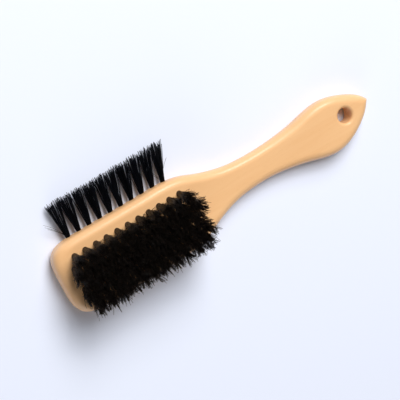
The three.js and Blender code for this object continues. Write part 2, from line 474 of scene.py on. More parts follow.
# ---------------------------------------------------------------------------- wooden body
@dataclass
class WoodenBody:
    """Head, neck and handle, cut from one piece of wood and rounded along every edge.

    A distance is measured from the end of the head, along the brush.
    """

    length: float
    head_width: float
    head_thickness: float
    field_at: float = 47.0  # distance of the middle of the bristle field, where x = 0
    head_rounding: float = 4.8
    head_end_length: float = 24.2
    head_end_squareness: float = 4.1
    shoulder_at: float = 58.0
    neck_at: float = 131.5
    neck_width: float = 18.4
    neck_thickness: float = 10.0
    thinned_before_neck: float = 15.0  # the head has thinned to that this long before the neck
    neck_offset: float = 1.0  # the neck bows this much towards the nylon side
    bulb_at: float = 179.0
    bulb_width: float = 31.8
    bulb_thickness: float = 11.8
    handle_rounding: float = 4.7
    tip_lean: float = 3.3  # the pointed end leans this much towards the nylon side
    tip_lean_from: float = 160.0
    hole_at: float = 190.6
    hole_offset: float = 1.2  # from the centre line, towards the nylon side
    hole_radius: float = 4.4
    hole_rim: float = 2.0
    hole_sides: int = 72
    hole_rim_steps: int = 8
    past_faces: float = 1.0  # how far the cutter of the hole runs past both faces
    spine_past_end: float = 2.0  # the spine starts this far past the curve of the head's end
    spine_before_tip: float = 16.0
    inset_halvings: int = 24
    end_steps: int = 28
    side_steps: int = 150
    rounding_steps: int = 10
    flat_margin: float = 0.4  # a last ring inside the flat, which keeps the flat's shading flat

    @classmethod
    def from_frame(cls) -> "WoodenBody":
        """Takes the overall sizes from the CAD body.

        Returns:
            The body, as long, as wide and as thick as the CAD one.
        """
        low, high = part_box("brush_body")
        size = (high - low) / MM
        return cls(length=size.x, head_width=size.y, head_thickness=size.z)

    def knots(self) -> np.ndarray:
        """Gives the knots that the outline's cubics join.

        Returns:
            A row for each knot: its distance, half-width and slope.
        """
        half_head = self.head_width / 2
        return np.array(
            [
                [0.0, half_head, 0.0],
                [self.shoulder_at, half_head, 0.0],
                [91.0, 17.8, -0.45],
                [108.0, 11.7, -0.26],
                [self.neck_at, self.neck_width / 2, 0.0],
                [157.0, 11.75, 0.18],
                [self.bulb_at, self.bulb_width / 2, 0.0],
                [199.0, 9.3, -0.62],
                [self.length, 0.0, -1.66],
            ]
        )

    def half_width(self, distance: np.ndarray) -> np.ndarray:
        """Gives the half-width of the outline.

        Args:
            distance: distances from the end of the head.

        Returns:
            Half-widths: a cubic between each pair of knots, closed by a superellipse at the head.
        """
        knots = self.knots()
        start = np.clip(np.searchsorted(knots[:, 0], distance) - 1, 0, len(knots) - 2)
        at, width, slope = knots[start].T
        next_at, next_width, next_slope = knots[start + 1].T
        span = next_at - at
        t = (distance - at) / span
        side = (
            width * (1 + 2 * t) * (1 - t) ** 2
            + slope * span * t * (1 - t) ** 2
            + next_width * t * t * (3 - 2 * t)
            + next_slope * span * t * t * (t - 1)
        )
        before_sides = np.maximum(0.0, 1 - distance / self.head_end_length)
        square = self.head_end_squareness
        return side * (1 - before_sides**square) ** (1 / square)

    def centre_line(self, distance: np.ndarray | float) -> np.ndarray | float:
        """Gives y of the middle of the outline.

        Args:
            distance: distances from the end of the head.

        Returns:
            y, which bows a little at the neck and leans a little near the tip.
        """
        into_neck = ease(distance, self.shoulder_at, self.neck_at)
        bow = into_neck - ease(distance, self.neck_at, self.bulb_at)
        share = np.maximum(0.0, distance - self.tip_lean_from) / (self.length - self.tip_lean_from)
        return self.neck_offset * bow + self.tip_lean * share**3

    def thickness(self, distance: np.ndarray | float) -> np.ndarray | float:
        """Gives the height of the face over the flat back.

        Args:
            distance: distances from the end of the head.

        Returns:
            Heights: level over the head, thinnest at the neck.
        """
        to_bulb = ease(distance, self.neck_at, self.bulb_at)
        handle = self.neck_thickness + (self.bulb_thickness - self.neck_thickness) * to_bulb
        to_neck = ease(distance, self.shoulder_at, self.neck_at - self.thinned_before_neck)
        return self.head_thickness + (handle - self.head_thickness) * to_neck

    def edge_rounding(self, distance: np.ndarray | float) -> np.ndarray | float:
        """Gives the radius of the rounded edges."""
        to_neck = ease(distance, self.shoulder_at, self.neck_at)
        return self.head_rounding + (self.handle_rounding - self.head_rounding) * to_neck

    def outline(self) -> tuple[np.ndarray, np.ndarray]:
        """Lays out the outline, out along the -Y side and back along the +Y side.

        Returns:
            The distance of each point, and its x and y.
        """
        turns = np.linspace(0, QUARTER_TURN, self.end_steps + 1)
        exponent = 2 / self.head_end_squareness
        head_end = self.head_end_length * (1 - np.abs(np.cos(turns)) ** exponent)
        t = np.linspace(0, 1, self.side_steps + 1)[1:]
        even_share = 0.7
        crowded = even_share * t + (1 - even_share) * np.sin(QUARTER_TURN * t)
        sides = self.head_end_length + (self.length - self.head_end_length) * crowded
        one_side = np.concatenate([head_end, sides])
        distance = np.concatenate([one_side, one_side[-2:0:-1]])
        side = np.where(np.arange(len(distance)) < len(one_side), -1.0, 1.0)
        y = self.centre_line(distance) + side * self.half_width(distance)
        return distance, np.column_stack([distance - self.field_at, y])

    @staticmethod
    def depth_inside(places: np.ndarray, outline: np.ndarray) -> np.ndarray:
        """Measures how far each place is from the outline.

        Args:
            places: x and y of each place.
            outline: x and y of each outline point, in order.

        Returns:
            The distance from each place to the nearest side of the outline.
        """
        start = outline[None, :, :]
        step = np.roll(outline, -1, axis=0)[None, :, :] - start
        to_place = places[:, None, :] - start
        share = (to_place * step).sum(-1) / np.maximum((step * step).sum(-1), 1e-12)
        nearest = to_place - np.clip(share, 0, 1)[..., None] * step
        return np.sqrt((nearest**2).sum(-1)).min(axis=1)

    def inset(
        self, distance: np.ndarray, outline: np.ndarray, depth: np.ndarray
    ) -> np.ndarray:
        """Moves each outline point towards the spine until it is this deep inside.

        Args:
            distance: distance of each outline point from the end of the head.
            outline: x and y of each point.
            depth: how deep inside the outline each point has to end up.

        Returns:
            x and y of the moved points.
        """
        spine_from = self.head_end_length + self.spine_past_end
        spine_to = self.length - self.spine_before_tip
        spine_at = np.clip(distance, spine_from, spine_to)
        spine = np.column_stack([spine_at - self.field_at, self.centre_line(spine_at)])
        outer = np.zeros(len(distance))
        inner = np.ones(len(distance))
        for _ in range(self.inset_halvings):
            middle = (outer + inner) / 2
            trial = outline + (spine - outline) * middle[:, None]
            shallow = self.depth_inside(trial, outline) < depth
            outer = np.where(shallow, middle, outer)
            inner = np.where(shallow, inner, middle)
        return outline + (spine - outline) * outer[:, None]

    def skin(self) -> bpy.types.Object:
        """Builds the closed skin, before anything is drilled.

        Returns:
            An object with rounded edges all round, and a flat face and back.
        """
        distance, outline = self.outline()
        radius = self.edge_rounding(distance)
        top = self.thickness(distance)
        lower: list[np.ndarray] = []
        upper: list[np.ndarray] = []
        for turn in np.linspace(0, QUARTER_TURN, self.rounding_steps + 1):
            place = self.inset(distance, outline, radius * (1 - math.sin(turn)))
            rise = radius * (1 - math.cos(turn))
            lower.append(np.column_stack([place, rise]))
            upper.append(np.column_stack([place, top - rise]))
        flat = self.inset(distance, outline, radius + self.flat_margin)
        lower.insert(0, np.column_stack([flat, np.zeros(len(flat))]))
        upper.insert(0, np.column_stack([flat, top]))
        rings = lower + upper[::-1]
        return mesh_object("body_skin", np.concatenate(rings), self.ring_faces(rings))

    @staticmethod
    def ring_faces(rings: Sequence[np.ndarray]) -> list[list[int]]:
        """Joins a stack of rings, and closes both ends with rungs from side to side.

        Args:
            rings: the points of each ring, all equally many, in the order they are joined.

        Returns:
            The corner numbers of each face.
        """
        count = len(rings[0])
        faces = [
            [
                level * count + i,
                level * count + (i + 1) % count,
                (level + 1) * count + (i + 1) % count,
                (level + 1) * count + i,
            ]
            for level in range(len(rings) - 1)
            for i in range(count)
        ]
        top = (len(rings) - 1) * count
        for i in range(count // 2):
            rung = list(dict.fromkeys([i, i + 1, count - i - 1, (count - i) % count]))
            faces.append([top + corner for corner in rung])
            faces.append(rung[::-1])
        return faces

    def hole_cutter(self) -> tuple[np.ndarray, list[list[int]]]:
        """Shapes the hanging hole with its rounded rims, as a closed turned solid.

        Returns:
            The vertices and the faces of the cutter.
        """
        top = float(self.thickness(self.hole_at))
        rim = self.hole_rim
        edge = self.hole_radius + rim
        # The rims run on slightly past the faces, so that they cut them at a small clean angle.
        overshoot = 0.02
        turns = np.linspace(0, QUARTER_TURN, self.hole_rim_steps + 1)
        lower = [(edge - rim * math.sin(a), rim - overshoot - rim * math.cos(a)) for a in turns]
        upper = [(r, top - z) for r, z in reversed(lower)]
        profile = [(edge, -self.past_faces), *lower, *upper, (edge, top + self.past_faces)]
        y = float(self.centre_line(self.hole_at)) + self.hole_offset
        centre = (self.hole_at - self.field_at, y, 0.0)
        return turned_solid(profile, self.hole_sides, centre, (0, 0, 1))


def turned_solid(
    profile: Sequence[tuple[float, float]],
    sides: int,
    centre: Sequence[float],
    axis: Sequence[float],
) -> tuple[np.ndarray, list[list[int]]]:
    """Turns a profile round an axis into a closed solid.

    Args:
        profile: radius and height of each ring, from the low end to the high end.
        sides: how many sides the solid has.
        centre: the point where the height is 0.
        axis: the direction of the height.

    Returns:
        The vertices and the faces.
    """
    turn = Vector((0, 0, 1)).rotation_difference(Vector(axis)).to_matrix()
    angles = np.arange(sides) * (2 * math.pi / sides)
    rings = [
        np.column_stack([r * np.cos(angles), r * np.sin(angles), np.full(sides, h)])
        for r, h in profile
    ]
    vertices = np.concatenate(rings) @ np.array(turn).T + np.array(centre)
    faces = [
        [
            level * sides + i,
            level * sides + (i + 1) % sides,
            (level + 1) * sides + (i + 1) % sides,
            (level + 1) * sides + i,
        ]
        for level in range(len(profile) - 1)
        for i in range(sides)
    ]
    faces.append(list(range(sides))[::-1])
    faces.append([(len(profile) - 1) * sides + i for i in range(sides)])
    return vertices, faces


def join_solids(solids: Iterable[tuple[np.ndarray, list[list[int]]]]) -> bpy.types.Object:
    """Puts separate closed solids into one object.

    Args:
        solids: the vertices and the faces of each solid.

    Returns:
        The object that holds them all.
    """
    vertices: list[np.ndarray] = []
    faces: list[list[int]] = []
    offset = 0
    for points, corners in solids:
        vertices.append(points)
        faces.extend([[c + offset for c in face] for face in corners])
        offset += len(points)
    return mesh_object("cutters", np.concatenate(vertices), faces)


# ---------------------------------------------------------------------------- bristles
class Side(Enum):
    """Where a row of tufts is set, and the directions that belong to it."""

    FACE = ((1, 0, 0), (0, 1, 0), (0, 0, 1))
    EDGE = ((1, 0, 0), (0, 0, 1), (0, 1, 0))

    @property
    def along(self) -> tuple[int, int, int]:
        """Direction along the row."""
        return self.value[0]

    @property
    def across(self) -> tuple[int, int, int]:
        """Direction across the row."""
        return self.value[1]

    @property
    def outward(self) -> tuple[int, int, int]:
        """Direction that the tufts stand in."""
        return self.value[2]


class Draw(IntEnum):
    """What a random draw decides, and the number that keeps it apart from the others."""

    RADIUS = 1
    ANGLE = 2
    LENGTH = 3
    STRAY = 4
    WAVE = 5
    SHADE = 7
    LOCK_SHIFT = 20
    LOCK_JITTER = 21
    LOCK_LENGTH = 22
    LOCK_WAVE = 23
    PHASE_AFTER_WAVE = 40  # is added to the number of the wave that it belongs to


@dataclass(frozen=True)
class TuftShape:
    """How the bristles of one kind of tuft stand. Lengths are in millimetres."""

    bristles: int
    root_radius: float
    buried: float
    standing: float
    length_spread: float  # share by which lengths differ
    spread_along: float  # how far the tips fan out along the row
    spread_across: float
    fan_power: float  # 1 is straight, more bends the tips outwards
    rim_crowding: float  # 0.5 is an even disc, less crowds the bristles at its rim
    split: float  # gap that the staple leaves in the middle, as a share of the root radius
    lock_size: float  # size of the locks that the tips gather in, as a share of the spread
    lock_share: float  # 1 draws the tips of a lock together
    wander: float  # how far the wildest tips stray
    wave_height: float
    waves: float
    bristle_radius: float
    tip_share: float  # radius at the tip as a share of the root's
    steps: int


BOAR_TUFT = TuftShape(
    bristles=300,
    root_radius=1.6,
    buried=6.0,
    standing=16.5,
    length_spread=0.1,
    spread_along=4.3,
    spread_across=4.2,
    fan_power=1.4,
    rim_crowding=0.47,
    split=0.1,
    lock_size=0.46,
    lock_share=0.8,
    wander=3.4,
    wave_height=1.1,
    waves=1.2,
    bristle_radius=0.155,
    tip_share=0.7,
    steps=8,
)

NYLON_TUFT = TuftShape(
    bristles=80,
    root_radius=1.35,
    buried=8.0,
    standing=20.6,
    length_spread=0.09,
    spread_along=4.0,
    spread_across=2.0,
    fan_power=1.0,
    rim_crowding=0.45,
    split=0.0,
    lock_size=0.32,
    lock_share=0.65,
    wander=2.5,
    wave_height=0.15,
    waves=0.8,
    bristle_radius=0.175,
    tip_share=0.85,
    steps=7,
)

# The few long filaments that have come loose from the ends of the stiff row.
LOOSE_NYLON = TuftShape(
    bristles=4,
    root_radius=1.2,
    buried=4.0,
    standing=12.0,
    length_spread=0.3,
    spread_along=12.0,
    spread_across=1.5,
    fan_power=1.6,
    rim_crowding=0.2,
    split=0.0,
    lock_size=0.3,
    lock_share=0.0,
    wander=0.5,
    wave_height=0.5,
    waves=0.5,
    bristle_radius=0.12,
    tip_share=0.8,
    steps=9,
)


class BristleGrower:
    """A geometry-node tree that grows bristles from the vertices of a mesh of tuft roots."""

    INPUTS: tuple[tuple[str, str], ...] = (
        ("Geometry", "NodeSocketGeometry"),
        ("Bristles", "NodeSocketInt"),
        ("Root radius", "NodeSocketFloat"),
        ("Buried", "NodeSocketFloat"),
        ("Standing", "NodeSocketFloat"),
        ("Length spread", "NodeSocketFloat"),
        ("Spread", "NodeSocketVector"),
        ("Fan power", "NodeSocketFloat"),
        ("Rim crowding", "NodeSocketFloat"),
        ("Split", "NodeSocketFloat"),
        ("Lock size", "NodeSocketFloat"),
        ("Lock share", "NodeSocketFloat"),
        ("Wander", "NodeSocketFloat"),
        ("Wave height", "NodeSocketFloat"),
        ("Waves", "NodeSocketFloat"),
        ("Bristle radius", "NodeSocketFloat"),
        ("Tip share", "NodeSocketFloat"),
        ("Steps", "NodeSocketInt"),
        ("Along", "NodeSocketVector"),
        ("Across", "NodeSocketVector"),
        ("Outward", "NodeSocketVector"),
        ("Seed", "NodeSocketInt"),
        ("Finish", "NodeSocketMaterial"),
    )
    SIDES = 3  # a bristle is so fine that three sides are enough
    LOCK_POWER = 3.0  # the tips gather late, close to the ends
    LOCK_JITTER = 0.4  # how far a lock's middle may lie from the middle of its cell, in cells
    # Numbers that give every bristle and every lock of a row a number of its own.
    BRISTLE_STEP = 997
    LOCK_STEP = 1009
    LOCK_COLUMN_STEP = 17.0
    LOCK_OFFSET = 400.5

    def __init__(self) -> None:
        """Builds the tree once, for every row to share."""
        self.tree = bpy.data.node_groups.new("bristle_grower", "GeometryNodeTree")
        for name, socket in self.INPUTS:
            self.tree.interface.new_socket(name, in_out="INPUT", socket_type=socket)
        self.tree.interface.new_socket(
            "Geometry", in_out="OUTPUT", socket_type="NodeSocketGeometry"
        )
        self.given = add_node(self.tree, "NodeGroupInput").outputs
        self.tuft = self.named("tuft", "INT")
        self.bristle = self.whole(
            "MULTIPLY_ADD", self.tuft, self.BRISTLE_STEP, self.named("strand", "INT")
        )
        shaped = self.shaped(self.strands())
        add_node(self.tree, "NodeGroupOutput", {0: self.skinned(shaped)})

    def maths(self, operation: str, *values: object) -> bpy.types.NodeSocket:
        """Combines numbers."""
        given = dict(enumerate(values))
        return add_node(self.tree, "ShaderNodeMath", given, operation=operation).outputs[0]

    def whole(self, operation: str, *values: object) -> bpy.types.NodeSocket:
        """Combines whole numbers."""
        given = dict(enumerate(values))
        return add_node(self.tree, "FunctionNodeIntegerMath", given, operation=operation).outputs[0]

    def vectors(self, operation: str, *values: object) -> bpy.types.NodeSocket:
        """Combines vectors."""
        given = dict(enumerate(values))
        return add_node(self.tree, "ShaderNodeVectorMath", given, operation=operation).outputs[0]

    def scaled(self, vector: object, factor: object) -> bpy.types.NodeSocket:
        """Multiplies a vector by a number."""
        given = {0: vector, "Scale": factor}
        return add_node(self.tree, "ShaderNodeVectorMath", given, operation="SCALE").outputs[0]

    def total(self, *vectors: object) -> bpy.types.NodeSocket:
        """Adds up any number of vectors.

        Args:
            *vectors: the vectors, or their sockets.

        Returns:
            The socket of their sum.
        """
        result = vectors[0]
        for vector in vectors[1:]:
            result = self.vectors("ADD", result, vector)
        return result

    def stored(
        self, geometry: bpy.types.NodeSocket, name: str, kind: str, value: object
    ) -> bpy.types.NodeSocket:
        """Keeps a value on every point under a name.

        Args:
            geometry: the geometry that keeps it.
            name: the name it is kept under.
            kind: Blender's name for the value's type.
            value: the value's socket.

        Returns:
            The socket of the geometry with its value.
        """
        given = {"Geometry": geometry, "Name": name, "Value": value}
        return add_node(
            self.tree, "GeometryNodeStoreNamedAttribute", given, data_type=kind, domain="POINT"
        ).outputs["Geometry"]

    def named(self, name: str, kind: str) -> bpy.types.NodeSocket:
        """Reads back a value that was kept under a name."""
        kept = add_node(self.tree, "GeometryNodeInputNamedAttribute", {"Name": name}, data_type=kind)
        return kept.outputs["Attribute"]

    def chance(
        self, low: object, high: object, identity: bpy.types.NodeSocket, draw: int
    ) -> bpy.types.NodeSocket:
        """Draws a random number or vector for each identity.

        Args:
            low: the lowest number or vector.
            high: the highest one.
            identity: a whole number; points that share it get the same draw.
            draw: tells one draw for an identity from the next.

        Returns:
            The socket of the drawn value.
        """
        is_vector = isinstance(low, tuple)
        lowest, highest, result = (0, 1, 0) if is_vector else (2, 3, 1)
        given = {
            lowest: low,
            highest: high,
            "ID": identity,
            "Seed": self.whole("ADD", self.given["Seed"], draw),
        }
        kind = "FLOAT_VECTOR" if is_vector else "FLOAT"
        return add_node(self.tree, "FunctionNodeRandomValue", given, data_type=kind).outputs[result]

    def flat_chance(self, identity: bpy.types.NodeSocket, draw: int) -> bpy.types.NodeSocket:
        """Draws a random vector along and across, with each part from -1 to 1."""
        return self.chance((-1.0, -1.0, 0.0), (1.0, 1.0, 0.0), identity, draw)

    def strands(self) -> bpy.types.NodeSocket:
        """Puts one straight line in each tuft's root for each of its bristles.

        Returns:
            The socket of the lines, which know their tuft, their root and their own number.
        """
        points = add_node(
            self.tree, "GeometryNodeMeshToPoints", {"Mesh": self.given["Geometry"]}
        ).outputs[0]
        index = add_node(self.tree, "GeometryNodeInputIndex").outputs[0]
        place = add_node(self.tree, "GeometryNodeInputPosition").outputs[0]
        points = self.stored(points, "tuft", "INT", index)
        points = self.stored(points, "root", "FLOAT_VECTOR", place)
        copies = add_node(
            self.tree,
            "GeometryNodeDuplicateElements",
            {"Geometry": points, "Amount": self.given["Bristles"]},
            domain="POINT",
        )
        points = self.stored(copies.outputs[0], "strand", "INT", copies.outputs[1])
        line = add_node(self.tree, "GeometryNodeCurvePrimitiveLine", {"End": (0.0, 0.0, 1.0)})
        steps = add_node(
            self.tree,
            "GeometryNodeResampleCurve",
            {"Curve": line.outputs[0], "Count": self.given["Steps"]},
        )
        placed = add_node(
            self.tree,
            "GeometryNodeInstanceOnPoints",
            {"Points": points, "Instance": steps.outputs[0]},
        )
        return add_node(
            self.tree, "GeometryNodeRealizeInstances", {"Geometry": placed.outputs[0]}
        ).outputs[0]

    def place_in_tuft(self) -> bpy.types.NodeSocket:
        """Draws each bristle's place in its tuft.

        Returns:
            The socket of a place in a disc of radius 1, split in two by the staple.
        """
        radius = self.maths(
            "POWER", self.chance(0.0, 1.0, self.bristle, Draw.RADIUS), self.given["Rim crowding"]
        )
        angle = self.chance(0.0, 2 * math.pi, self.bristle, Draw.ANGLE)
        circle = {0: self.maths("COSINE", angle), 1: self.maths("SINE", angle)}
        on_circle = add_node(self.tree, "ShaderNodeCombineXYZ", circle).outputs[0]
        in_disc = self.scaled(on_circle, radius)
        halves = self.vectors("MULTIPLY", self.vectors("SIGN", in_disc), (0.0, 1.0, 0.0))
        parted = self.vectors("ADD", in_disc, self.scaled(halves, self.given["Split"]))
        return self.scaled(
            parted, self.maths("DIVIDE", 1.0, self.maths("ADD", self.given["Split"], 1.0))
        )

    def lock_of(
        self, place: bpy.types.NodeSocket
    ) -> tuple[bpy.types.NodeSocket, bpy.types.NodeSocket]:
        """Finds the lock that each bristle's tip gathers in.

        Args:
            place: the bristle's place in its tuft.

        Returns:
            The lock's number, and its middle.
        """
        size = self.given["Lock size"]
        shift = self.flat_chance(self.tuft, Draw.LOCK_SHIFT)
        shifted = self.vectors("ADD", place, shift)
        cell = self.vectors("FLOOR", self.scaled(shifted, self.maths("DIVIDE", 1.0, size)))
        parts = add_node(self.tree, "ShaderNodeSeparateXYZ", {0: cell}).outputs
        row = self.maths("ADD", parts[1], self.LOCK_OFFSET)
        counted = self.maths("MULTIPLY_ADD", parts[0], self.LOCK_COLUMN_STEP, row)
        in_tuft = self.maths("FLOOR", counted)
        number = self.whole("MULTIPLY_ADD", self.tuft, self.LOCK_STEP, in_tuft)
        jitter = self.scaled(self.flat_chance(number, Draw.LOCK_JITTER), self.LOCK_JITTER)
        middle = self.total(cell, (0.5, 0.5, 0.0), jitter)
        return number, self.vectors("SUBTRACT", self.scaled(middle, size), shift)

    def shaped(self, strands: bpy.types.NodeSocket) -> bpy.types.NodeSocket:
        """Bends every line into its bristle: held in the hole, then fanned out to its tip.

        Args:
            strands: the socket of the straight lines.

        Returns:
            The socket of the bent ones.
        """
        given = self.given
        place = self.place_in_tuft()
        lock, lock_middle = self.lock_of(place)
        root = self.scaled(place, given["Root radius"])
        fanned = self.vectors("MULTIPLY", place, given["Spread"])
        gathered = self.vectors("MULTIPLY", lock_middle, given["Spread"])

        # A power of 7 leaves most tips near their place and sends a few far out.
        stray = self.flat_chance(self.bristle, Draw.STRAY)
        squared = self.vectors("MULTIPLY", stray, stray)
        cubed = self.vectors("MULTIPLY", squared, stray)
        wild = self.vectors("MULTIPLY", self.vectors("MULTIPLY", squared, squared), cubed)
        tip = self.total(fanned, self.scaled(wild, given["Wander"]))

        variation = self.maths(
            "ADD",
            self.chance(-1.0, 0.5, self.bristle, Draw.LENGTH),
            self.chance(-0.5, 0.5, lock, Draw.LOCK_LENGTH),
        )
        longer = self.maths("MULTIPLY_ADD", variation, given["Length spread"], 1.0)
        standing = self.maths("MULTIPLY", given["Standing"], longer)

        # The first point is at the bottom of the hole, and the others share out what stands proud.
        step = add_node(self.tree, "GeometryNodeSplineParameter").outputs["Index"]
        above = self.maths("MAXIMUM", self.maths("SUBTRACT", step, 1.0), 0.0)
        share = self.maths("DIVIDE", above, self.maths("SUBTRACT", given["Steps"], 2.0))
        below = self.maths("MULTIPLY", self.maths("LESS_THAN", step, 0.5), given["Buried"])
        height = self.maths("SUBTRACT", self.maths("MULTIPLY", share, standing), below)

        fan = self.maths("POWER", share, given["Fan power"])
        late = self.maths("POWER", share, self.LOCK_POWER)
        reach = self.scaled(self.vectors("SUBTRACT", tip, root), fan)
        drawn = self.scaled(
            self.vectors("SUBTRACT", gathered, fanned),
            self.maths("MULTIPLY", given["Lock share"], late),
        )
        waves = self.total(
            self.wave(share, lock, Draw.LOCK_WAVE, 1.0),
            self.wave(share, self.bristle, Draw.WAVE, 0.5),
        )
        sideways = self.total(root, reach, drawn, waves)
        parts = add_node(self.tree, "ShaderNodeSeparateXYZ", {0: sideways}).outputs
        final = self.total(
            self.named("root", "FLOAT_VECTOR"),
            self.scaled(given["Along"], parts[0]),
            self.scaled(given["Across"], parts[1]),
            self.scaled(given["Outward"], height),
            self.scaled(self.named("lean", "FLOAT_VECTOR"), share),
        )
        moved = add_node(
            self.tree, "GeometryNodeSetPosition", {"Geometry": strands, "Position": final}
        ).outputs[0]
        moved = self.stored(moved, "along", "FLOAT", share)
        shade = self.chance(0.0, 1.0, self.bristle, Draw.SHADE)
        return self.stored(moved, "shade", "FLOAT", shade)

    def wave(
        self, share: bpy.types.NodeSocket, identity: bpy.types.NodeSocket, draw: int, size: float
    ) -> bpy.types.NodeSocket:
        """Waves a bristle from side to side, more towards its tip.

        Args:
            share: how far along the bristle a point is.
            identity: the whole number that picks the wave.
            draw: tells this wave's draws from the others.
            size: what the wave height is multiplied by.

        Returns:
            The socket of the sideways shift.
        """
        phase = self.chance(0.0, 2 * math.pi, identity, draw + Draw.PHASE_AFTER_WAVE)
        turns = self.maths("MULTIPLY", self.given["Waves"], 2 * math.pi)
        swing = self.maths("SINE", self.maths("MULTIPLY_ADD", share, turns, phase))
        height = self.maths("MULTIPLY", self.given["Wave height"], size)
        amount = self.maths("MULTIPLY", self.maths("MULTIPLY", swing, share), height)
        return self.scaled(self.flat_chance(identity, draw), amount)

    def skinned(self, strands: bpy.types.NodeSocket) -> bpy.types.NodeSocket:
        """Gives the bristles their thickness and their finish.

        Args:
            strands: the socket of the bent lines.

        Returns:
            The socket of the finished bristles.
        """
        given = self.given
        ring = add_node(
            self.tree, "GeometryNodeCurvePrimitiveCircle", {"Resolution": self.SIDES, "Radius": 1.0}
        ).outputs[0]
        thinning = self.maths("SUBTRACT", given["Tip share"], 1.0)
        taper = self.maths("MULTIPLY_ADD", self.named("along", "FLOAT"), thinning, 1.0)
        radius = self.maths("MULTIPLY", given["Bristle radius"], taper)
        skin = add_node(
            self.tree,
            "GeometryNodeCurveToMesh",
            {"Curve": strands, "Profile Curve": ring, "Scale": radius, "Fill Caps": True},
        ).outputs[0]
        smooth = add_node(self.tree, "GeometryNodeSetShadeSmooth", {"Geometry": skin}).outputs[0]
        real = add_node(self.tree, "GeometryNodeRealizeInstances", {"Geometry": smooth}).outputs[0]
        return add_node(
            self.tree, "GeometryNodeSetMaterial", {"Geometry": real, "Material": given["Finish"]}
        ).outputs[0]

    def grow(
        self,
        name: str,
        roots: Sequence[Vector],
        leans: Sequence[Vector],
        shape: TuftShape,
        side: Side,
        finish: bpy.types.Material,
        seed: int,
    ) -> bpy.types.Object:
        """Grows the bristles of one piece.

        Args:
            name: the piece's name.
            roots: where each tuft leaves the wood, in millimetres.
            leans: how far the tips of each tuft are carried sideways, in millimetres.
            shape: how the bristles stand.
            side: where the tufts are set.
            finish: the bristles' material.
            seed: the fixed seed of this piece.

        Returns:
            A plain mesh of bristles, at the origin.
        """
        source = mesh_object(name + "_roots", np.array([list(r) for r in roots]), [])
        lean = source.data.attributes.new("lean", "FLOAT_VECTOR", "POINT")
        lean.data.foreach_set("vector", np.array([list(v * MM) for v in leans]).ravel())
        values = {
            "Bristles": shape.bristles,
            "Root radius": shape.root_radius * MM,
            "Buried": shape.buried * MM,
            "Standing": shape.standing * MM,
            "Length spread": shape.length_spread,
            "Spread": (shape.spread_along * MM, shape.spread_across * MM, 0.0),
            "Fan power": shape.fan_power,
            "Rim crowding": shape.rim_crowding,
            "Split": shape.split,
            "Lock size": shape.lock_size,
            "Lock share": shape.lock_share,
            "Wander": shape.wander * MM,
            "Wave height": shape.wave_height * MM,
            "Waves": shape.waves,
            "Bristle radius": shape.bristle_radius * MM,
            "Tip share": shape.tip_share,
            "Steps": shape.steps,
            "Along": [float(c) for c in side.along],
            "Across": [float(c) for c in side.across],
            "Outward": [float(c) for c in side.outward],
            "Seed": seed,
            "Finish": finish,
        }
        modifier = source.modifiers.new("grow", "NODES")
        modifier.node_group = self.tree
        for socket in self.tree.interface.items_tree:
            if socket.in_out == "INPUT" and socket.name in values:
                modifier[socket.identifier] = values[socket.name]
        return apply_modifiers(source, name)


@dataclass
class TuftLayout:
    """Where the tufts are set, in millimetres."""

    pitch: float = 6.85
    boar_counts: tuple[int, ...] = (11, 12, 11, 12, 11)
    boar_spacing: float = 6.4
    boar_splay: float = 0.02  # outward lean of the tips, as a share of the tuft's place
    boar_lean: tuple[float, float] = (-1.0, -2.3)  # use has combed the tips over this way
    boar_twist: float = 0.06  # and less so near the nylon side, as a share of the tuft's y
    nylon_count: int = 10
    nylon_level: float = 4.4
    nylon_lean: tuple[float, float] = (0.04, 0.24)

    def along_row(self, count: int) -> list[float]:
        """Gives x of each tuft of a row that is centred on the field."""
        return [(i - (count - 1) / 2) * self.pitch for i in range(count)]

    def boar_row(self, row: int, face: float) -> list[Vector]:
        """Gives the roots of one row of the field, counted from the nylon side."""
        y = ((len(self.boar_counts) - 1) / 2 - row) * self.boar_spacing
        return [Vector((x, y, face)) for x in self.along_row(self.boar_counts[row])]

    def boar_tip_lean(self, root: Vector) -> Vector:
        """Gives how far the tips of one tuft of the field are carried sideways.

        Args:
            root: where the tuft leaves the wood.

        Returns:
            The shift of its tips, in millimetres.
        """
        along, across = self.boar_lean
        splayed = Vector((root.x, root.y, 0)) * self.boar_splay
        return splayed + Vector((along + self.boar_twist * root.y, across, 0))

    def nylon_row(self, edge: float) -> list[Vector]:
        """Gives the roots of the stiff row in the side edge."""
        return [Vector((x, edge, self.nylon_level)) for x in self.along_row(self.nylon_count)]


